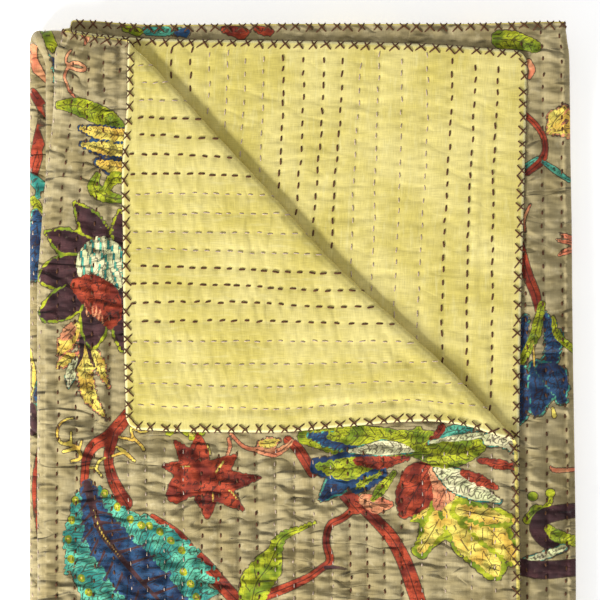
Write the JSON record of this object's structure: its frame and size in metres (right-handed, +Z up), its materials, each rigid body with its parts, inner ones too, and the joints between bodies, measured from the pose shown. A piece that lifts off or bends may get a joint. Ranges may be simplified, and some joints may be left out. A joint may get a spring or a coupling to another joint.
{
  "type": "quilted throw blanket",
  "caption": "Hand-quilted printed cotton throw folded into a flat rectangular bundle, its top corner turned back to show the plain reverse.",
  "frame": {"origin": "centre of the underside of the folded bundle", "axes": "+X across the folded width, towards the side where the free edges lie; +Y along the folded length, towards the open end with the turned-back corner; +Z up"},
  "size_m": [0.3416, 0.606, 0.0378],
  "materials": {
    "printed_cotton": "matt plain-weave cotton with a large floral print",
    "plain_cotton": "matt plain-weave cotton, dyed pale yellow-green",
    "brown_thread": "matt cotton thread",
    "pale_thread": "matt cotton thread"
  },
  "bodies": {
    "root": {"face_cloth": "printed_cotton", "back_cloth": "plain_cotton"}
  },
  "joints": []
}
